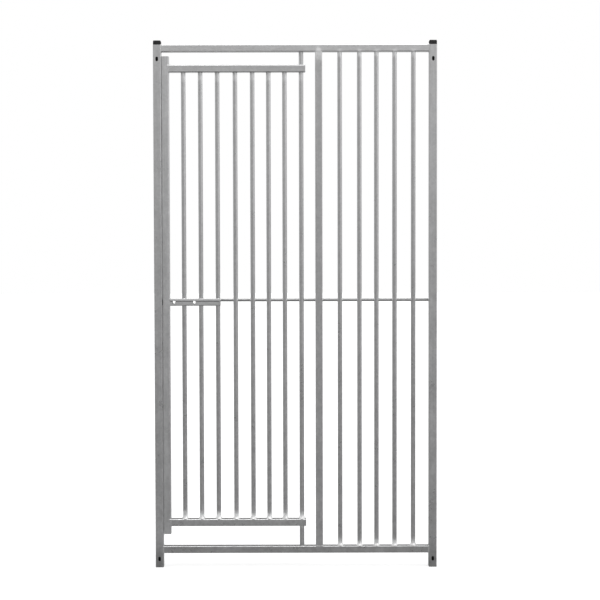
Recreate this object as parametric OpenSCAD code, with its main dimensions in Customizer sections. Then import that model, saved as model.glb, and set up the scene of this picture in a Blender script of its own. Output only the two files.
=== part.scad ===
// Pen front panel with a barred door: a welded, galvanised steel frame and
// a door leaf that turns about its own hinge bar, shut by a sliding bolt.
// Millimetres. +Z is up and the front of the panel looks along -Y.
// The origin is on the ground, midway between the posts, in the middle of the tubes' depth.

/* [Frame] */
// Width of the panel over its two posts
panel_w = 1000; // [900:10:1200]
// Height of the posts without their caps
post_h = 1850; // [1700:10:2000]
// Side of the square posts
post_size = 28; // [26:1:32]
// Side of the square rails, mullion and door tubes
tube_size = 25; // [22:1:26]
// Wall of every square tube
tube_wall = 2; // [1.5:0.5:2.5]
// Height of the bottom rail's underside above the ground
bottom_rail_z = 50; // [30:5:90]
// Middle of the mullion, measured from the middle of the panel
mullion_x = 83; // [70:1:100]

/* [Bars] */
// Diameter of the upright bars
bar_d = 16; // [14:1:18]
// Wall of the upright bars
bar_wall = 1.5; // [1:0.5:2]
// Diameter of the level rod at mid height
rod_d = 10; // [8:1:12]
// Height of the level rod's middle above the ground
rod_z = 951; // [920:1:980]

/* [Door] */
// Axis of the hinge bar, measured from the middle of the panel
hinge_x = 21; // [15:1:30]
// Gap between the left post and the door's stile
door_gap = 2; // [2:0.5:6]
// Height of the door's lower end above the ground
door_z = 118.5; // [100:0.5:140]
// Gap between the top of the door's stile and the frame's top rail
door_top_gap = 15.5; // [10:0.5:20]
// How far the stile stands up above the door's top rail
stile_above = 30.5; // [20:0.5:40]
// How far the stile hangs below the door's bottom rail
stile_below = 28; // [20:0.5:40]
// How far the door's rails run on past the hinge axis
rail_past_hinge = 15; // [12:1:20]
// Free space between the hinge bar and the holes that it turns in
hinge_play = 0.5; // [0.3:0.1:1]

/* [Latch] */
// Height of the bolt's axis above the ground
latch_z = 943.5; // [940:0.5:947]
// Length of the bolt housing, its end plate included
housing_len = 178; // [172:1:190]
// Diameter of the bolt
bolt_d = 18; // [16:1:18]
// Diameter of the padlock holes
padlock_d = 11; // [8:1:11]
// Distance between the two padlock holes, which is also the bolt's travel
padlock_pitch = 72.5; // [70:0.5:73]

/* [Post slots] */
// Width of the fixing slots
slot_w = 9; // [7:1:11]
// Height of the fixing slots, end to end
slot_h = 16; // [14:1:24]
// Height of the lower slots' middle above the ground
slot_low_z = 30; // [20:1:35]
// Distance of the upper slots' middle below the top of the posts
slot_below_top = 50; // [40:1:60]

/* [Hidden] */
$fn = 64;
zinc = [0.66, 0.67, 0.68];
worn_zinc = [0.58, 0.59, 0.60];
black = [0.10, 0.10, 0.11];
corner_r = 3;                 // outer corner of a square tube
joint_gap = 0.1;              // the zinc-filled gap around the rod where it goes through a tube
cut = 1;                      // how far a cutting shape runs past the face that it cuts
number_of_door_bars = 7;
number_of_fixed_bars = 5;
bars_on_housing = 3;          // the first door bars stand on the bolt housing and hang under it
door_bar_off = [3, 3, 3, 6, 7, 4, 1];   // how far each door bar stands off an even spacing
fixed_bar_off = [7, 9, 2, -1, -2];      // the same for the frame's bars

post_x = panel_w / 2 - post_size / 2;
post_inner_x = panel_w / 2 - post_size;
bottom_rail_top = bottom_rail_z + tube_size;
top_rail_z = post_h - tube_size;
slot_top_z = post_h - slot_below_top;
fixed_pitch = (post_x - mullion_x) / (number_of_fixed_bars + 1);
cap_w = post_size - 1;
cap_h = 15;
cap_neck = 11;
cap_bevel = 1.6;
cap_plug = 18;
cap_plug_play = 0.25;

stile_left = -post_inner_x + door_gap;
stile_right = stile_left + tube_size;
stile_x = (stile_left + stile_right) / 2;
door_top = top_rail_z - door_top_gap;
door_top_rail_z = door_top - stile_above - tube_size;
door_bottom_rail_z = door_z + stile_below;
door_bottom_rail_top = door_bottom_rail_z + tube_size;
door_rail_end = hinge_x + rail_past_hinge;
door_pitch = (hinge_x - stile_x) / (number_of_door_bars + 1);

hinge_lift = 0.3;             // the hinge bar's foot clears the rail's inner floor by this
hinge_foot = bottom_rail_z + tube_wall + hinge_lift;
hinge_head = post_h - tube_wall - 5;
rod_end_gap = 0.6;            // between the frame's rod and the turning hinge bar

housing_plate = 3;
housing_end = stile_right + housing_len;
housing_bottom = latch_z - tube_size / 2;
housing_top = latch_z + tube_size / 2;
seam_gap = 2;
seam_z = latch_z + 3.2;
padlock_x = stile_right + 13.5;
padlock_open_x = padlock_x + padlock_pitch;
bolt_play = 0.5;
bolt_nose_gap = 5;            // the drawn bolt's nose stands this far behind the first padlock hole
bolt_nose = padlock_x + padlock_d / 2 + bolt_nose_gap;
bolt_tail = housing_end - housing_plate - 3;
bolt_bevel = 1.5;
keeper_size = 20;
handle_d = 10;
handle_x = padlock_open_x + 60;
handle_reach = 32;            // from the panel's middle plane to the handle's end
handle_seat = 4;              // depth of the blind hole in the bolt that holds the handle
handle_slot_play = 0.75;

function door_bar_x(i) = stile_x + door_pitch * i + door_bar_off[i - 1];
function fixed_bar_x(i) = mullion_x + fixed_pitch * i + fixed_bar_off[i - 1];

// ---- Shapes that the sub-parts share ----

// A square of side s whose corners are true arcs of radius r
module rounded_square(s, r) {
    square([s - 2 * r, s], center = true);
    square([s, s - 2 * r], center = true);
    for (sx = [-1, 1], sy = [-1, 1]) translate([sx * (s / 2 - r), sy * (s / 2 - r)]) circle(r);
}

// A square tube that stands up from z = 0
module square_tube(s, length) {
    linear_extrude(length) difference() {
        rounded_square(s, corner_r);
        rounded_square(s - 2 * tube_wall, corner_r - tube_wall / 2);
    }
}

module upright_tube(s, x, z0, z1) {
    translate([x, 0, z0]) square_tube(s, z1 - z0);
}

module level_tube(s, z, x0, x1) {
    translate([x0, 0, z]) rotate([0, 90, 0]) square_tube(s, x1 - x0);
}

// A round tube that stands up between two heights
module upright_bar(x, z0, z1) {
    translate([x, 0, z0]) linear_extrude(z1 - z0) difference() {
        circle(d = bar_d);
        circle(d = bar_d - 2 * bar_wall);
    }
}

// A cylinder along X at a height z, between two places
module level_cylinder(d, z, x0, x1) {
    translate([x0, 0, z]) rotate([0, 90, 0]) cylinder(d = d, h = x1 - x0);
}

// The bore that lets the mid rod through a tube of side or diameter s
module rod_bore(x, s) {
    level_cylinder(rod_d + 2 * joint_gap, rod_z, x - s / 2 - cut, x + s / 2 + cut);
}

// A hole along Y, between two depths
module cross_hole(d, x, z, y0, y1) {
    translate([x, y1, z]) rotate([90, 0, 0]) cylinder(d = d, h = y1 - y0);
}

// An upright slot with round ends through a post's front wall
module front_slot(x, z) {
    reach = tube_wall + 2 * cut;
    centre_gap = (slot_h - slot_w) / 2;
    translate([x, -post_size / 2 - cut, z]) rotate([-90, 0, 0]) linear_extrude(reach) {
        square([slot_w, 2 * centre_gap], center = true);
        translate([0, centre_gap]) circle(d = slot_w);
        translate([0, -centre_gap]) circle(d = slot_w);
    }
}

// ---- Frame ----

module post(x) {
    difference() {
        upright_tube(post_size, x, 0, post_h);
        front_slot(x, slot_low_z);
        front_slot(x, slot_top_z);
    }
}

module left_post() {
    color(zinc) difference() {
        post(-post_x);
        translate([-post_inner_x - tube_wall / 2, 0, latch_z])
            cube([tube_wall + 2 * cut, keeper_size, keeper_size], center = true);
    }
}

module right_post() {
    color(zinc) post(post_x);
}

// A push-in cap: a bevelled head on the post's end and a plug inside the tube
module post_cap(x) {
    plug_w = post_size - 2 * tube_wall - 2 * cap_plug_play;
    color(black) translate([x, 0, post_h]) {
        hull() {
            linear_extrude(cap_neck) rounded_square(cap_w, 4);
            linear_extrude(cap_h) rounded_square(cap_w - 2 * cap_bevel, 3);
            linear_extrude(cap_h - cap_bevel / 2) rounded_square(cap_w - cap_bevel, 3.5);
        }
        translate([0, 0, -cap_plug]) linear_extrude(cap_plug) rounded_square(plug_w, 2);
    }
}

module left_post_cap() { post_cap(-post_x); }
module right_post_cap() { post_cap(post_x); }

// The hinge bar's head goes up through a hole in this rail's lower wall
module top_rail() {
    color(zinc) difference() {
        level_tube(tube_size, top_rail_z + tube_size / 2, -post_inner_x, post_inner_x);
        translate([hinge_x, 0, top_rail_z - cut])
            cylinder(d = bar_d + 2 * hinge_play, h = tube_wall + 2 * cut);
    }
}

// The hinge bar's foot goes down through a hole in this rail's upper wall
module bottom_rail() {
    color(zinc) difference() {
        level_tube(tube_size, bottom_rail_z + tube_size / 2, -post_inner_x, post_inner_x);
        translate([hinge_x, 0, bottom_rail_top - tube_wall - cut])
            cylinder(d = bar_d + 2 * hinge_play, h = tube_wall + 2 * cut);
    }
}

module mullion() {
    color(zinc) difference() {
        upright_tube(tube_size, mullion_x, bottom_rail_top, top_rail_z);
        rod_bore(mullion_x, tube_size);
    }
}

module fixed_bar(i) {
    color(zinc) difference() {
        upright_bar(fixed_bar_x(i), bottom_rail_top, top_rail_z);
        rod_bore(fixed_bar_x(i), bar_d);
    }
}

// The frame's part of the rod: it starts just clear of the hinge bar
module frame_mid_rod() {
    color(worn_zinc) level_cylinder(rod_d, rod_z, hinge_x + bar_d / 2 + rod_end_gap, post_inner_x);
}

// ---- Door ----

module door_stile() {
    color(zinc) difference() {
        upright_tube(tube_size, stile_x, door_z, door_top);
        level_cylinder(bolt_d + 2 * bolt_play, latch_z, stile_left - cut, stile_right + cut);
    }
}

// Both door rails are bored right through for the hinge bar that is welded into them
module door_rail(z) {
    color(zinc) difference() {
        level_tube(tube_size, z + tube_size / 2, stile_right, door_rail_end);
        translate([hinge_x, 0, z - cut]) cylinder(d = bar_d + 2 * joint_gap, h = tube_size + 2 * cut);
    }
}

module door_top_rail() { door_rail(door_top_rail_z); }
module door_bottom_rail() { door_rail(door_bottom_rail_z); }

// The door's last bar runs on through both door rails into the frame's rails and turns there
module hinge_bar() {
    color(zinc) difference() {
        upright_bar(hinge_x, hinge_foot, hinge_head);
        level_cylinder(rod_d + 2 * joint_gap, rod_z, hinge_x - bar_d, hinge_x);
    }
}

module door_bar_upper(i) {
    color(zinc) upright_bar(door_bar_x(i), housing_top, door_top_rail_z);
}

module door_bar_lower(i) {
    color(zinc) upright_bar(door_bar_x(i), door_bottom_rail_top, housing_bottom);
}

module door_bar(i) {
    color(zinc) difference() {
        upright_bar(door_bar_x(i), door_bottom_rail_top, door_top_rail_z);
        rod_bore(door_bar_x(i), bar_d);
    }
}

// The door's part of the rod, from the housing's end plate into the hinge bar
module door_mid_rod() {
    color(worn_zinc) level_cylinder(rod_d, rod_z, housing_end, hinge_x - joint_gap);
}

// ---- Latch ----

// A square tube with an open seam along its front, two padlock holes and the handle's slot behind
module latch_housing() {
    half = tube_size / 2;
    tube_end = housing_end - housing_plate;
    slot_play = handle_d / 2 + handle_slot_play;
    slot_from = handle_x - padlock_pitch - slot_play;
    slot_to = handle_x + slot_play;
    color(zinc) difference() {
        level_tube(tube_size, latch_z, stile_right, tube_end);
        translate([stile_right - cut, -half - cut, seam_z - seam_gap / 2])
            cube([housing_len + 2 * cut, tube_wall + 2 * cut, seam_gap]);
        cross_hole(padlock_d, padlock_x, latch_z, -half - cut, half + cut);
        cross_hole(padlock_d, padlock_open_x, latch_z, -half - cut, half + cut);
        translate([slot_from, half - tube_wall - cut, latch_z - slot_play])
            cube([slot_to - slot_from, tube_wall + 2 * cut, 2 * slot_play]);
    }
}

module latch_end_plate() {
    color(zinc) translate([housing_end - housing_plate, 0, latch_z]) rotate([0, 90, 0])
        linear_extrude(housing_plate) rounded_square(tube_size, corner_r);
}

// The bolt is drawn back: it slides along -X into the keeper hole in the left post
module latch_bolt() {
    length = bolt_tail - bolt_nose;
    color(worn_zinc) difference() {
        translate([bolt_nose, 0, latch_z]) rotate([0, 90, 0]) rotate_extrude()
            polygon([[0, 0], [bolt_d / 2 - bolt_bevel, 0], [bolt_d / 2, bolt_bevel],
                [bolt_d / 2, length - bolt_bevel], [bolt_d / 2 - bolt_bevel, length], [0, length]]);
        cross_hole(padlock_d, padlock_open_x, latch_z, -bolt_d, bolt_d);
        cross_hole(handle_d, handle_x, latch_z, bolt_d / 2 - handle_seat, bolt_d);
    }
}

// A short stud in the back of the bolt, with a bevelled end
module bolt_handle() {
    reach = handle_reach - (bolt_d / 2 - handle_seat);
    radius = handle_d / 2;
    color(worn_zinc) translate([handle_x, bolt_d / 2 - handle_seat, latch_z]) rotate([-90, 0, 0])
        rotate_extrude() polygon([[0, 0], [radius, 0], [radius, reach - bolt_bevel],
            [radius - bolt_bevel, reach], [0, reach]]);
}

left_post();
right_post();
left_post_cap();
right_post_cap();
top_rail();
bottom_rail();
mullion();
fixed_bar(1);  // fixed_bar_1
fixed_bar(2);  // fixed_bar_2
fixed_bar(3);  // fixed_bar_3
fixed_bar(4);  // fixed_bar_4
fixed_bar(5);  // fixed_bar_5
frame_mid_rod();
door_stile();
door_top_rail();
door_bottom_rail();
hinge_bar();
door_bar_upper(1);  // door_bar_1_upper
door_bar_lower(1);  // door_bar_1_lower
door_bar_upper(2);  // door_bar_2_upper
door_bar_lower(2);  // door_bar_2_lower
door_bar_upper(3);  // door_bar_3_upper
door_bar_lower(3);  // door_bar_3_lower
door_bar(4);  // door_bar_4
door_bar(5);  // door_bar_5
door_bar(6);  // door_bar_6
door_bar(7);  // door_bar_7
door_mid_rod();
latch_housing();
latch_end_plate();
latch_bolt();
bolt_handle();
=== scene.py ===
"""Looks, light and camera for a galvanised barred panel with a swinging door leaf."""
import math
import random

import bpy
import bmesh
from mathutils import Matrix, Vector


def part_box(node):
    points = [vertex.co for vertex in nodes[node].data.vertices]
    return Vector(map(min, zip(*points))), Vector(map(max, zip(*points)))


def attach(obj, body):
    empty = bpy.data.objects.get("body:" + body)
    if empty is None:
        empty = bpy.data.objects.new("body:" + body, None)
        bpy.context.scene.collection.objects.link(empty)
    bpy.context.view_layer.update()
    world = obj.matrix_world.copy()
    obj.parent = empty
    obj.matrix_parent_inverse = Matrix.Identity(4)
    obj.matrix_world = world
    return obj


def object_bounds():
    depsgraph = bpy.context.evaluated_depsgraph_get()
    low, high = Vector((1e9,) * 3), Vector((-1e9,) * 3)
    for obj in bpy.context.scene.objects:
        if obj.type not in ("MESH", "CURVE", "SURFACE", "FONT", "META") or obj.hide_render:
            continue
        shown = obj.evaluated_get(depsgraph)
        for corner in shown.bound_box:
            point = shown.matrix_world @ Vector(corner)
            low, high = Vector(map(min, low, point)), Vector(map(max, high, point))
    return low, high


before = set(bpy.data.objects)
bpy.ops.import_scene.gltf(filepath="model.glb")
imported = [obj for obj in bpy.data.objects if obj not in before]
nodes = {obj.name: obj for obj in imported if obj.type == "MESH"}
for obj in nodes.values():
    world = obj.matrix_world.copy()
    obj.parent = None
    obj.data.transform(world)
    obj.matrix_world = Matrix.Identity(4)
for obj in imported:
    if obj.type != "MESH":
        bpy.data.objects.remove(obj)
cad_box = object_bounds()
scene = bpy.context.scene


# ---------------------------------------------------------------- materials

class Graph:
    """A short way to write node trees: a call adds what it needs and, but for feed and bump, returns it."""

    def __init__(self, tree):
        self.tree = tree

    def node(self, kind, **values):
        made = self.tree.nodes.new(kind)
        for key, value in values.items():
            setattr(made, key, value)
        return made

    def feed(self, socket, value):
        if hasattr(value, "is_linked"):
            self.tree.links.new(value, socket)
        else:
            socket.default_value = value

    def math(self, operation, a, b=0.0, c=0.0, clamp=False):
        made = self.node("ShaderNodeMath", operation=operation, use_clamp=clamp)
        for socket, value in zip(made.inputs, (a, b, c)):
            self.feed(socket, value)
        return made.outputs[0]

    def place(self, scale):
        coordinate = self.node("ShaderNodeTexCoord").outputs["Object"]
        made = self.node("ShaderNodeMapping")
        self.feed(made.inputs["Vector"], coordinate)
        made.inputs["Scale"].default_value = scale
        return made.outputs[0]

    def noise(self, vector, scale, detail=3.0, roughness=0.55, distortion=0.0):
        made = self.node("ShaderNodeTexNoise")
        self.feed(made.inputs["Vector"], vector)
        made.inputs["Scale"].default_value = scale
        made.inputs["Detail"].default_value = detail
        made.inputs["Roughness"].default_value = roughness
        made.inputs["Distortion"].default_value = distortion
        return made.outputs[0]

    def remap(self, value, low, high, to_low=0.0, to_high=1.0):
        made = self.node("ShaderNodeMapRange", interpolation_type="SMOOTHSTEP")
        self.feed(made.inputs["Value"], value)
        limits = {"From Min": low, "From Max": high, "To Min": to_low, "To Max": to_high}
        for name, number in limits.items():
            made.inputs[name].default_value = number
        return made.outputs[0]

    def vary(self, noise, amount, over):
        """over, changed by a noise of 0 to 1: by up to half of amount, up or down."""
        return self.math("MULTIPLY_ADD", self.math("SUBTRACT", noise, 0.5), amount, over)

    def grey(self, tone, tints=(1.0, 1.0, 1.0)):
        made = self.node("ShaderNodeCombineColor")
        for socket, tint in zip(made.inputs, tints):
            self.feed(socket, tone if tint == 1.0 else self.math("MULTIPLY", tone, tint))
        return made.outputs[0]

    def bump(self, shader, height, strength, distance):
        made = self.node("ShaderNodeBump")
        made.inputs["Strength"].default_value = strength
        made.inputs["Distance"].default_value = distance
        self.feed(made.inputs["Height"], height)
        self.feed(shader.inputs["Normal"], made.outputs[0])


def new_material(name):
    material = bpy.data.materials.new(name)
    material.use_nodes = True
    g = Graph(material.node_tree)
    return material, g, g.tree.nodes["Principled BSDF"]


def galvanised(name, along, level=0.6, rough=0.30, spangle=0.06, streak=0.06, mottle=0.06,
               fresh=(), hollow=(), grimy=None):
    """Hot-dipped zinc. along is the drawing direction of the tube. fresh lists patches of
    other zinc and of painted light and shade: how much brighter (or darker, below 0), how chalky, and the
    (axis, place, reach) limits that the patch lies within. hollow lists the (axis, middle, axis,
    middle, half) of tubes whose insides, where they show through their holes, are painted near black as
    shade. Below the height grimy the zinc turns darker and rougher."""
    bluish = (1.0, 1.002, 1.008)
    darkest, brightest, smoothest = 0.2, 0.95, 0.16
    # near black: the painted shade inside the tubes
    inside_shade_colour = (0.012, 0.012, 0.012, 1)
    material, g, shader = new_material(name)
    plain = g.place((1, 1, 1))
    drawn_scale = {"X": (0.03, 1, 1), "Z": (1, 1, 0.03)}[along]
    drawn = g.place(drawn_scale)
    clouds = g.noise(plain, 11, 4, 0.6)
    fine = g.noise(plain, 900, 2, 0.5)
    lines = g.noise(drawn, 260, 4, 0.65)
    broad = g.noise(drawn, 55, 2, 0.5)

    flakes = g.node("ShaderNodeTexVoronoi", feature="F1")
    bent = g.node("ShaderNodeVectorMath", operation="MULTIPLY_ADD")
    wobble = g.node("ShaderNodeTexNoise")
    g.feed(wobble.inputs["Vector"], plain)
    wobble.inputs["Scale"].default_value = 120
    g.feed(bent.inputs[0], wobble.outputs["Color"])
    bent.inputs[1].default_value = (0.006, 0.006, 0.006)
    g.feed(bent.inputs[2], plain)
    g.feed(flakes.inputs["Vector"], bent.outputs[0])
    flakes.inputs["Scale"].default_value = 130
    split = g.node("ShaderNodeSeparateColor")
    g.feed(split.inputs[0], flakes.outputs["Color"])
    flake = split.outputs[0]

    tone = g.vary(clouds, mottle * 2, level)
    tone = g.vary(flake, spangle, tone)
    tone = g.vary(lines, streak * 2, tone)
    tone = g.vary(broad, streak * 2, tone)
    roughness = g.vary(clouds, 0.22, rough)
    roughness = g.vary(flake, 0.10, roughness)
    split_place = g.node("ShaderNodeSeparateXYZ")
    g.feed(split_place.inputs[0], plain)
    ripples = g.math("SUBTRACT", g.noise(plain, 90, 4, 0.65), 0.5) if fresh else None
    chalk = 0.0
    # some of these patches are painted light and shade, marked where they are listed
    for amount, chalky, *limits in fresh:
        patch = 1.0
        for axis, place, reach in limits:
            gap = g.math("ABSOLUTE", g.math("SUBTRACT", split_place.outputs[axis], place))
            ragged = g.math("MULTIPLY_ADD", ripples, reach * 1.2, gap)
            patch = g.math("MULTIPLY", g.remap(ragged, reach * 0.1, reach, 1.0, 0.0), patch)
        tone = g.math("MULTIPLY_ADD", patch, amount, tone)
        chalk = g.math("MULTIPLY_ADD", patch, chalky, chalk)
    # darker and rougher towards the bottom, below the given height
    if grimy:
        low_down = g.vary(clouds, 0.04, split_place.outputs["Z"])
        low_darkening = g.remap(low_down, 0.0, grimy, 1.0, 0.0)
        tone = g.math("MULTIPLY_ADD", low_darkening, -0.24, tone)
        roughness = g.math("MULTIPLY_ADD", low_darkening, 0.12, roughness)
    tone = g.math("MINIMUM", g.math("MAXIMUM", tone, darkest), brightest)
    colour = g.grey(tone, bluish)
    g.feed(shader.inputs["Base Color"], colour)
    g.feed(shader.inputs["Roughness"], g.math("MAXIMUM", roughness, smoothest))
    g.feed(shader.inputs["Metallic"], g.math("SUBTRACT", 1.0, chalk) if fresh else 1.0)
    # painted shade: the listed tubes' insides are drawn near black and not metallic, standing in for the
    # shade inside them
    if hollow:
        within = 0.0
        for axis_a, middle_a, axis_b, middle_b, half in hollow:
            a = g.math("ABSOLUTE", g.math("SUBTRACT", split_place.outputs[axis_a], middle_a))
            b = g.math("ABSOLUTE", g.math("SUBTRACT", split_place.outputs[axis_b], middle_b))
            near_a, near_b = g.math("LESS_THAN", a, half), g.math("LESS_THAN", b, half)
            within = g.math("MULTIPLY_ADD", near_a, near_b, within)
        inside_shade = g.node("ShaderNodeMix", data_type="RGBA")
        g.feed(inside_shade.inputs["Factor"], within)
        g.feed(inside_shade.inputs[6], colour)
        inside_shade.inputs[7].default_value = inside_shade_colour
        g.feed(shader.inputs["Base Color"], inside_shade.outputs[2])
        g.feed(shader.inputs["Metallic"], g.math("SUBTRACT", 1.0, within))

    relief = g.math("MULTIPLY_ADD", lines, 0.5, g.math("MULTIPLY", fine, 0.25))
    relief = g.math("MULTIPLY_ADD", flake, 0.25, relief)
    relief = g.math("MULTIPLY_ADD", clouds, 1.4, relief)
    g.bump(shader, relief, strength=0.35, distance=0.0004)
    return material


def bead_zinc(name, level=0.82, rough=0.3):
    """Zinc over a weld bead: bright, lumpy, with small dull spots."""
    material, g, shader = new_material(name)
    plain = g.place((1, 1, 1))
    lumps = g.noise(plain, 260, 3, 0.6)
    spots = g.noise(plain, 90, 4, 0.6)
    tone = g.vary(spots, 0.3, level)
    tone = g.math("MULTIPLY_ADD", g.math("SUBTRACT", lumps, 0.5), 0.12, tone, clamp=True)
    g.feed(shader.inputs["Base Color"], g.grey(tone))
    g.feed(shader.inputs["Roughness"], g.math("MULTIPLY_ADD", spots, 0.25, rough - 0.1))
    shader.inputs["Metallic"].default_value = 0.85
    g.bump(shader, lumps, strength=0.4, distance=0.0006)
    return material


def moulded_plastic(name):
    """Black push-in plastic: fine spark-eroded grain, scuffs and a little dust."""
    material, g, shader = new_material(name)
    plain = g.place((1, 1, 1))
    grain = g.noise(plain, 2200, 2, 0.5)
    dust = g.noise(plain, 60, 4, 0.65)
    scuffs = g.remap(g.noise(g.place((1, 1, 0.15)), 420, 3, 0.7), 0.58, 0.72)
    tone = g.math("MULTIPLY_ADD", g.remap(dust, 0.4, 0.8), 0.014, 0.012)
    tone = g.math("MULTIPLY_ADD", scuffs, 0.03, tone)
    g.feed(shader.inputs["Base Color"], g.grey(tone))
    g.feed(shader.inputs["Roughness"], g.math("MULTIPLY_ADD", dust, 0.25, 0.40))
    shader.inputs["Specular IOR Level"].default_value = 0.22
    g.bump(shader, grain, strength=0.25, distance=0.0003)
    return material


def centre(name):
    low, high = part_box(name)
    return (low + high) / 2


def dress(material, *names):
    for name in names:
        slots = nodes[name].data.materials
        for index in range(len(slots)):
            slots[index] = material


top_rail_low, top_rail_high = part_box("top_rail")
bottom_rail_low, bottom_rail_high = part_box("bottom_rail")
door_top_low, door_top_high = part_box("door_top_rail")
door_bottom_low, door_bottom_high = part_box("door_bottom_rail")
mullion_low, mullion_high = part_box("mullion")
mullion_x = (mullion_low.x + mullion_high.x) / 2

door_bars = [n for n in sorted(nodes) if n.startswith("door_bar")]
fixed_bars = [n for n in sorted(nodes) if n.startswith("fixed_bar")]

seen_wall = 0.0018             # just under the tubes' wall, so that only their insides get the painted shade
shade_edge = 0.0008             # how far the painted shade on a lower rail's top runs down over its edge


def zinc(look, names, along, **values):
    dress(galvanised(look, along, **values), *names)


# the tubes that can be seen into, whose insides get painted shade, as (axis, middle, axis, middle, half)
post_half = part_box("left_post")[1].y - seen_wall
post_shaded_insides = [("X", centre(name).x, "Y", 0.0, post_half) for name in ("left_post", "right_post")]
latch_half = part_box("latch_housing")[1].y - seen_wall
latch_shaded_inside = [("Y", 0.0, "Z", centre("latch_housing").z, latch_half)]

# patches of other zinc and of painted light and shade, as (brighter, chalky, (axis, place, reach), ...)
mullion_head = [(0.16, 0.2, ("Z", top_rail_low.z, 0.046))]
head_patches = [(0.16, 0.25, ("X", mullion_x, 0.020), ("Z", top_rail_low.z, 0.026))]
for fixed_bar in fixed_bars:
    head_patches.append((0.12, 0.2, ("X", centre(fixed_bar).x, 0.011), ("Z", top_rail_low.z, 0.014)))
# painted shade: the lower rails' top faces are drawn darker, standing in for the dark reflection that they
# show
bottom_rail_top_shade = [(-0.40, 0.0, ("Z", bottom_rail_high.z, shade_edge))]
door_rail_top_shade = [(-0.45, 0.0, ("Z", door_bottom_high.z, shade_edge))]
# painted light: the door bars are drawn lighter and chalkier near their feet, standing in for a reflection
# of the rail's bright top, and lighter in a band under the top rail
door_bar_painted_light = [
    (0.25, 0.75, ("Z", door_bottom_high.z, 0.036)),
    (0.10, 0.1, ("Z", door_top_low.z - 0.018, 0.02)),
]
# painted light: the fixed bars are drawn lighter and chalkier near their feet, standing in for a reflection
# of the rail's bright top; the band under the top rail is lighter zinc by the welds
fixed_bar_feet_light_and_head_zinc = [
    (0.25, 0.55, ("Z", bottom_rail_high.z, 0.034)),
    (0.14, 0.25, ("Z", top_rail_low.z - 0.004, 0.022)),
]

zinc("post_zinc_look", ["left_post", "right_post"], "Z", level=0.60, rough=0.34, mottle=0.10, streak=0.08,
     hollow=post_shaded_insides, grimy=0.10)
zinc("stile_zinc_look", ["door_stile"], "Z", level=0.66, rough=0.36, streak=0.11)
zinc("mullion_zinc_look", ["mullion"], "Z", level=0.58, rough=0.38, fresh=mullion_head)
zinc("top_rail_zinc_look", ["top_rail"], "X", level=0.66, rough=0.40, fresh=head_patches)
zinc("bottom_rail_zinc_look", ["bottom_rail"], "X", level=0.53, rough=0.33, fresh=bottom_rail_top_shade)
zinc("door_rail_zinc_look", ["door_top_rail", "door_bottom_rail"], "X", level=0.62, rough=0.33, streak=0.10,
     fresh=door_rail_top_shade)
zinc("door_bar_zinc_look", door_bars, "Z", level=0.57, rough=0.34, fresh=door_bar_painted_light)
zinc("fixed_bar_zinc_look", fixed_bars, "Z", level=0.56, rough=0.34, fresh=fixed_bar_feet_light_and_head_zinc)
zinc("hinge_bar_zinc_look", ["hinge_bar"], "Z", level=0.57, rough=0.34, fresh=door_bar_painted_light)
zinc("rod_zinc_look", ["frame_mid_rod", "door_mid_rod"], "X", level=0.42, rough=0.60, spangle=0.03)
zinc("latch_zinc_look", ["latch_housing", "latch_end_plate"], "X", level=0.60, rough=0.70,
     hollow=latch_shaded_inside)
zinc("bolt_zinc_look", ["latch_bolt", "bolt_handle"], "X", level=0.24, rough=0.48, spangle=0.03)
dress(moulded_plastic("cap_plastic_look"), "left_post_cap", "right_post_cap")
weld_look = bead_zinc("weld_zinc_look")
dull_weld_look = bead_zinc("dull_weld_zinc_look", level=0.60, rough=0.5)
# painted shadow: bead zinc drawn dark, standing in for the shadow under the door's top rail
shaded_weld_look = bead_zinc("shaded_weld_zinc_look", level=0.34, rough=0.6)


# ------------------------------------------------------------------- welds

def add_collar(mesh, x, z, up, bar_r, reach, height, rng, level=False):
    """A weld fillet round a bar: a lumpy ring that starts on a face and dies out on the bar. The bar stands
    up from (x, z), or runs along X if level is set; up is +1 or -1, the way that the bar leaves the face.
    The fillet is sunk a little into both, and its section curves inwards."""
    turns, steps = 48, 9
    into_bar, into_face = 0.0003, 0.0002
    lumps = [rng.uniform(0.0, 2 * math.pi) for _ in range(4)]

    def at(a, r, h):
        if level:
            return x + up * h, r * math.cos(a), z + r * math.sin(a)
        return x + r * math.cos(a), r * math.sin(a), z + up * h

    rings = []
    for step in range(steps + 1):
        t = step / steps
        ring = []
        for turn in range(turns):
            a = 2 * math.pi * turn / turns
            ripple = 0.3 * math.sin(4 * a + lumps[0]) + 0.4 * math.sin(11 * a + lumps[1])
            ripple += 0.3 * math.sin(19 * a + lumps[2])
            wide = reach * (1 + 0.10 * ripple)
            tall = height * (1 + 0.10 * math.sin(3 * a + lumps[3]) + 0.05 * ripple)
            r = bar_r - into_bar + wide * (1 - t) ** 1.7
            h = tall * t ** 0.85 - into_face
            ring.append(mesh.verts.new(at(a, r, h)))
        rings.append(ring)
    inner_r = bar_r - 2 * into_bar
    inner = [mesh.verts.new(at(2 * math.pi * k / turns, inner_r, -into_face)) for k in range(turns)]
    rings.insert(0, inner)
    rings.append(inner)
    for lower, upper in zip(rings, rings[1:]):
        for k in range(turns):
            n = (k + 1) % turns
            mesh.faces.new((lower[k], lower[n], upper[n], upper[k]))


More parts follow.
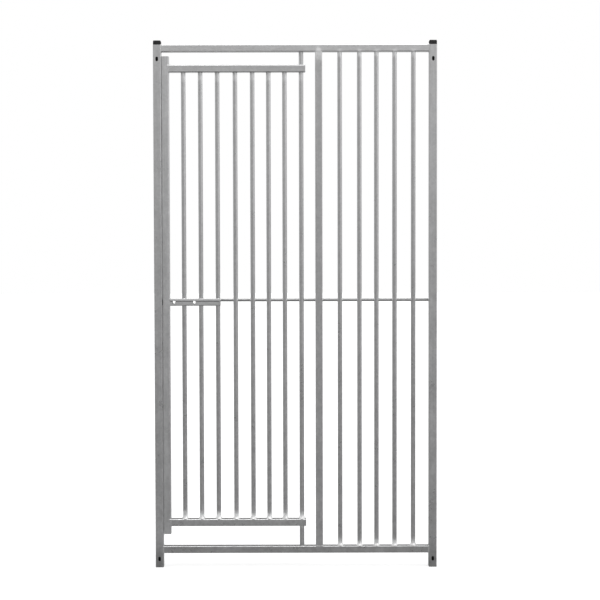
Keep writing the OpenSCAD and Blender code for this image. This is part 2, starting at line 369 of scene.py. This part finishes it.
def add_frame_bead(mesh, x, side, y0, y1, z0, z1, r, rng):
    """A bead round the end of a level tube, where it meets an upright's face at x. side is +1 if the tube
    runs to +X, and r is the bead's radius."""
    corner = 0.003
    spacing = 0.0012
    flatness = 0.55
    around = 8
    corner_steps = 6
    path = []
    low_y, high_y, low_z, high_z = y0 + corner, y1 - corner, z0 + corner, z1 - corner
    corners = ((high_y, high_z, 0), (low_y, high_z, 90), (low_y, low_z, 180), (high_y, low_z, 270))
    for cy, cz, start in corners:
        for step in range(corner_steps + 1):
            a = math.radians(start + step * 90 / corner_steps)
            path.append((cy + corner * math.cos(a), cz + corner * math.sin(a)))
    dense = []
    for (ya, za), (yb, zb) in zip(path, path[1:] + path[:1]):
        pieces = max(1, round(math.hypot(yb - ya, zb - za) / spacing))
        dense += [(ya + (yb - ya) * k / pieces, za + (zb - za) * k / pieces) for k in range(pieces)]
    count = len(dense)
    phase = rng.uniform(0, 6)
    rings = []
    for k, (y, z) in enumerate(dense):
        ya, za = dense[k - 1]
        yb, zb = dense[(k + 1) % count]
        ty, tz = yb - ya, zb - za
        size = math.hypot(ty, tz) or 1.0
        oy, oz = tz / size, -ty / size
        lump = 1 + 0.12 * math.sin(k * 1.9 + phase) + 0.08 * math.sin(k * 0.63 + phase * 2)
        ring = []
        for turn in range(around):
            a = 2 * math.pi * turn / around
            out = flatness * r * lump * math.cos(a)
            ring.append(mesh.verts.new((x + side * r * lump * math.sin(a), y + oy * out, z + oz * out)))
        rings.append(ring)
    for k in range(count):
        n = (k + 1) % count
        for turn in range(around):
            m = (turn + 1) % around
            mesh.faces.new((rings[k][turn], rings[k][m], rings[n][m], rings[n][turn]))


def weld_piece(name, body, build, look):
    mesh = bmesh.new()
    build(mesh)
    bmesh.ops.recalc_face_normals(mesh, faces=mesh.faces)
    data = bpy.data.meshes.new(name)
    mesh.to_mesh(data)
    mesh.free()
    for face in data.polygons:
        face.use_smooth = True
    piece = bpy.data.objects.new(name, data)
    scene.collection.objects.link(piece)
    data.materials.append(look)
    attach(piece, body)
    return piece


bar_low, bar_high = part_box(fixed_bars[0])
bar_r = (bar_high.x - bar_low.x) / 2
whole_bars = [n for n in door_bars if not n.endswith(("upper", "lower"))]
upper_bars = [n for n in door_bars if n.endswith("upper")]
lower_bars = [n for n in door_bars if n.endswith("lower")]
latch_low, latch_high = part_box("latch_housing")
stile_low, stile_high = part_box("door_stile")
left_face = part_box("left_post")[1].x
right_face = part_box("right_post")[0].x

# how far each kind of fillet reaches out over the face, and how far it climbs the bar
door_foot_fillet = (0.0050, 0.0110)
fixed_foot_fillet = (0.0048, 0.0100)
fixed_head_fillet = (0.0018, 0.0022)
thin_fillet = (0.0016, 0.0020)
rod_fillet = (0.0016, 0.0022)
# the radii of the beads round the tubes' ends
rail_bead = 0.0015
small_bead = 0.0012
round_side = 0.0012            # a rod's bead starts this far inside a round bar's widest place


def bar_fillets(names, z, up, fillet, seed):
    """What builds one fillet round each named bar, on the face at height z."""
    def build(mesh):
        rng = random.Random(seed)
        for name in names:
            add_collar(mesh, centre(name).x, z, up, bar_r, *fillet, rng)
    return build


def latch_bar_beads(mesh):
    rng = random.Random(13)
    for name in upper_bars:
        add_collar(mesh, centre(name).x, latch_high.z, 1, bar_r, *thin_fillet, rng)
    for name in lower_bars:
        add_collar(mesh, centre(name).x, latch_low.z, -1, bar_r, *thin_fillet, rng)


def tube_bead(mesh, x, side, low, high, r, rng):
    add_frame_bead(mesh, x, side, low.y, high.y, low.z, high.z, r, rng)


def door_corner_beads(mesh):
    rng = random.Random(16)
    for low, high in ((door_top_low, door_top_high), (door_bottom_low, door_bottom_high)):
        tube_bead(mesh, stile_high.x, 1, low, high, rail_bead, rng)
    tube_bead(mesh, stile_high.x, 1, latch_low, latch_high, small_bead, rng)


# a lap's three half sizes, and how far its middle lies behind the tubes' front and below the rail's top
door_lap = (0.0060, 0.0019, 0.0015)
frame_lap = (0.0042, 0.0021, 0.0015)
lap_behind, lap_below = 0.0010, 0.0012
# how far a lap's middle lies over the upright
door_lap_over, frame_lap_over = 0.0022, 0.0008


def add_lap(mesh, x, y, z, wide, deep, tall):
    """A small rounded bead, where the weld along a rail's upper corner runs over on to the upright."""
    place = Matrix.Translation((x, y, z)) @ Matrix.Diagonal((wide, deep, tall, 1.0))
    bmesh.ops.create_uvsphere(mesh, u_segments=16, v_segments=10, radius=1.0, matrix=place)


def door_laps(mesh):
    for high in (door_top_high, door_bottom_high):
        y, z = stile_low.y + lap_behind, high.z - lap_below
        add_lap(mesh, stile_high.x - door_lap_over, y, z, *door_lap)


def frame_laps(mesh):
    for high in (top_rail_high, bottom_rail_high):
        y, z = top_rail_low.y + lap_behind, high.z - lap_below
        add_lap(mesh, left_face - frame_lap_over, y, z, *frame_lap)
        add_lap(mesh, right_face + frame_lap_over, y, z, *frame_lap)


def frame_corner_beads(mesh):
    rng = random.Random(17)
    for low, high in ((top_rail_low, top_rail_high), (bottom_rail_low, bottom_rail_high)):
        tube_bead(mesh, left_face, 1, low, high, rail_bead, rng)
        tube_bead(mesh, right_face, -1, low, high, rail_bead, rng)


rod_z = centre("frame_mid_rod").z
rod_r = (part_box("frame_mid_rod")[1].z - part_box("frame_mid_rod")[0].z) / 2


def add_rod_tacks(mesh, places, rng):
    """Small beads where the level rod goes through or into something: (x, way the rod leaves) pairs."""
    for x, way in places:
        add_collar(mesh, x, rod_z, way, rod_r, *rod_fillet, rng, level=True)


def both_sides(name, sink):
    low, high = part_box(name)
    return [(low.x + sink, -1), (high.x - sink, 1)]


def door_rod_tacks(mesh):
    places = [(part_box("latch_end_plate")[1].x, 1), (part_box("hinge_bar")[0].x + round_side, -1)]
    for name in whole_bars:
        places += both_sides(name, round_side)
    add_rod_tacks(mesh, places, random.Random(18))


def frame_rod_tacks(mesh):
    places = both_sides("mullion", 0.0) + [(right_face, -1)]
    for name in fixed_bars:
        places += both_sides(name, round_side)
    add_rod_tacks(mesh, places, random.Random(19))


def mullion_end_beads(mesh):
    """Beads round the mullion's two ends, made as for a level tube and then stood up."""
    rng = random.Random(20)
    low, high = mullion_low, mullion_high
    for z, way in ((low.z, 1), (high.z, -1)):
        before = len(mesh.verts)
        add_frame_bead(mesh, 0.0, way, low.y, high.y, low.x, high.x, small_bead, rng)
        mesh.verts.ensure_lookup_table()
        for vert in mesh.verts[before:]:
            along, depth, across = vert.co
            vert.co = (across, depth, z + along)


standing_bars = whole_bars + lower_bars + ["hinge_bar"]
hanging_bars = whole_bars + upper_bars + ["hinge_bar"]
door_feet = bar_fillets(standing_bars, door_bottom_high.z, 1, door_foot_fillet, 11)
door_heads = bar_fillets(hanging_bars, door_top_low.z, -1, thin_fillet, 12)
fixed_feet = bar_fillets(fixed_bars, bottom_rail_high.z, 1, fixed_foot_fillet, 14)
fixed_heads = bar_fillets(fixed_bars, top_rail_low.z, -1, fixed_head_fillet, 15)

weld_piece("door_lap_welds", "door", door_laps, weld_look)
weld_piece("frame_lap_welds", "frame", frame_laps, weld_look)
weld_piece("door_rod_tacks", "door", door_rod_tacks, weld_look)
weld_piece("frame_rod_tacks", "frame", frame_rod_tacks, weld_look)
weld_piece("mullion_end_welds", "frame", mullion_end_beads, dull_weld_look)
weld_piece("door_bar_foot_welds", "door", door_feet, weld_look)
# the door bars' head welds carry the painted shadow under the top rail
weld_piece("door_bar_head_welds", "door", door_heads, shaded_weld_look)
weld_piece("latch_bar_welds", "door", latch_bar_beads, dull_weld_look)
weld_piece("door_corner_welds", "door", door_corner_beads, dull_weld_look)
weld_piece("fixed_bar_foot_welds", "frame", fixed_feet, weld_look)
weld_piece("fixed_bar_head_welds", "frame", fixed_heads, weld_look)
weld_piece("frame_corner_welds", "frame", frame_corner_beads, dull_weld_look)


# ------------------------------------------------------------------- stage

def pale_floor():
    data = bpy.data.meshes.new("floor")
    rings, turns = (0.0, 1.0, 3.0, 8.0, 30.0), 64
    mesh = bmesh.new()
    last = [mesh.verts.new((0, 0, 0))]
    for radius in rings[1:]:
        ring = []
        for k in range(turns):
            a = 2 * math.pi * k / turns
            ring.append(mesh.verts.new((radius * math.cos(a), radius * math.sin(a), 0)))
        for k in range(turns):
            n = (k + 1) % turns
            if len(last) == 1:
                mesh.faces.new((last[0], ring[k], ring[n]))
            else:
                mesh.faces.new((last[k], ring[k], ring[n], last[n]))
        last = ring
    mesh.to_mesh(data)
    mesh.free()
    floor = bpy.data.objects.new("floor", data)
    scene.collection.objects.link(floor)
    material, _, shader = new_material("floor_look")
    shader.inputs["Base Color"].default_value = (0.45, 0.45, 0.45, 1)
    shader.inputs["Roughness"].default_value = 0.9
    shader.inputs["Emission Color"].default_value = (1, 1, 1, 1)
    shader.inputs["Emission Strength"].default_value = 0.62
    data.materials.append(material)
    floor.visible_glossy = False
    floor.location.z = -0.0005  # just under the feet, so that the faces don't share a plane


def studio_world():
    """White behind everything, and a soft grey studio for what the metal mirrors. Each glow is a direction,
    a strength and how tightly it is gathered."""
    world = bpy.data.worlds.new("studio")
    world.use_nodes = True
    scene.world = world
    g = Graph(world.node_tree)
    ground = g.tree.nodes["Background"]
    output = g.tree.nodes["World Output"]
    direction = g.node("ShaderNodeTexCoord").outputs["Generated"]
    height = g.node("ShaderNodeSeparateXYZ")
    g.feed(height.inputs[0], direction)
    rise = g.remap(height.outputs["Z"], -0.16, 0.22)

    def glow(way, strength, tightness, over):
        dot = g.node("ShaderNodeVectorMath", operation="DOT_PRODUCT")
        g.feed(dot.inputs[0], direction)
        dot.inputs[1].default_value = Vector(way).normalized()
        off = g.math("SUBTRACT", dot.outputs["Value"], 1.0)
        fall = g.math("EXPONENT", g.math("MULTIPLY", off, tightness))
        return g.math("MULTIPLY_ADD", fall, strength, over)

    upper = 0.04
    for way, strength, tightness in (
        ((0.0, -1.0, 0.15), 0.28, 3.0),
        ((1.0, -0.15, 0.20), 1.35, 3.4),
        ((-1.0, 0.10, 0.20), 0.80, 4.5),
        ((0.5, 1.0, 0.25), 0.14, 5.0),
    ):
        upper = glow(way, strength, tightness, upper)
    total = g.math("MULTIPLY_ADD", upper, rise, 0.30)
    for way, strength, tightness in (
        ((0.0, -0.15, 1.0), 5.00, 18.0),
        ((0.0, 1.0, -0.24), 0.42, 9.0),
    ):
        total = glow(way, strength, tightness, total)
    g.feed(ground.inputs["Strength"], total)
    ground.inputs["Color"].default_value = (1, 1, 1, 1)
    white = g.node("ShaderNodeBackground")
    white.inputs["Color"].default_value = (1, 1, 1, 1)
    white.inputs["Strength"].default_value = 1.0
    mix = g.node("ShaderNodeMixShader")
    g.feed(mix.inputs[0], g.node("ShaderNodeLightPath").outputs["Is Camera Ray"])
    g.feed(mix.inputs[1], ground.outputs[0])
    g.feed(mix.inputs[2], white.outputs[0])
    g.feed(output.inputs["Surface"], mix.outputs[0])


def softbox(name, place, aim, wide, tall, watts):
    lamp = bpy.data.lights.new(name, "AREA")
    lamp.shape = "RECTANGLE"
    lamp.size, lamp.size_y = wide, tall
    lamp.energy = watts
    holder = bpy.data.objects.new(name, lamp)
    scene.collection.objects.link(holder)
    holder.location = place
    holder.rotation_euler = (Vector(aim) - Vector(place)).to_track_quat("-Z", "Y").to_euler()
    return holder


def photographer():
    """A long lens a little above the object's middle, looking slightly down, with a slight roll."""
    lens, distance, height, aside = 75.0, 4.43, 1.12, 0.016
    lean = math.radians(0.13)
    lift = 0.015                   # the lens shift, as a part of the picture's width
    below_centre = 0.0084          # how far the object's middle lies below the picture's, in the same part
    data = bpy.data.cameras.new("camera")
    data.lens = lens
    data.sensor_width = 36.0
    data.shift_y = -lift
    data.clip_end = 60
    camera = bpy.data.objects.new("camera", data)
    scene.collection.objects.link(camera)
    camera.location = (aside, -distance, height)
    middle = (cad_box[0].z + cad_box[1].z) / 2
    below_axis = math.atan((lift + below_centre) * data.sensor_width / lens)
    pitch = math.atan((height - middle) / distance) - below_axis
    camera.rotation_euler = (math.pi / 2 - pitch, lean, 0)
    scene.camera = camera


pale_floor()
studio_world()
softbox("overhead_softbox", (0.3, -1.2, 4.2), (0, 0, 0.9), 3.0, 2.0, 15)
photographer()
scene.view_settings.view_transform = "Standard"
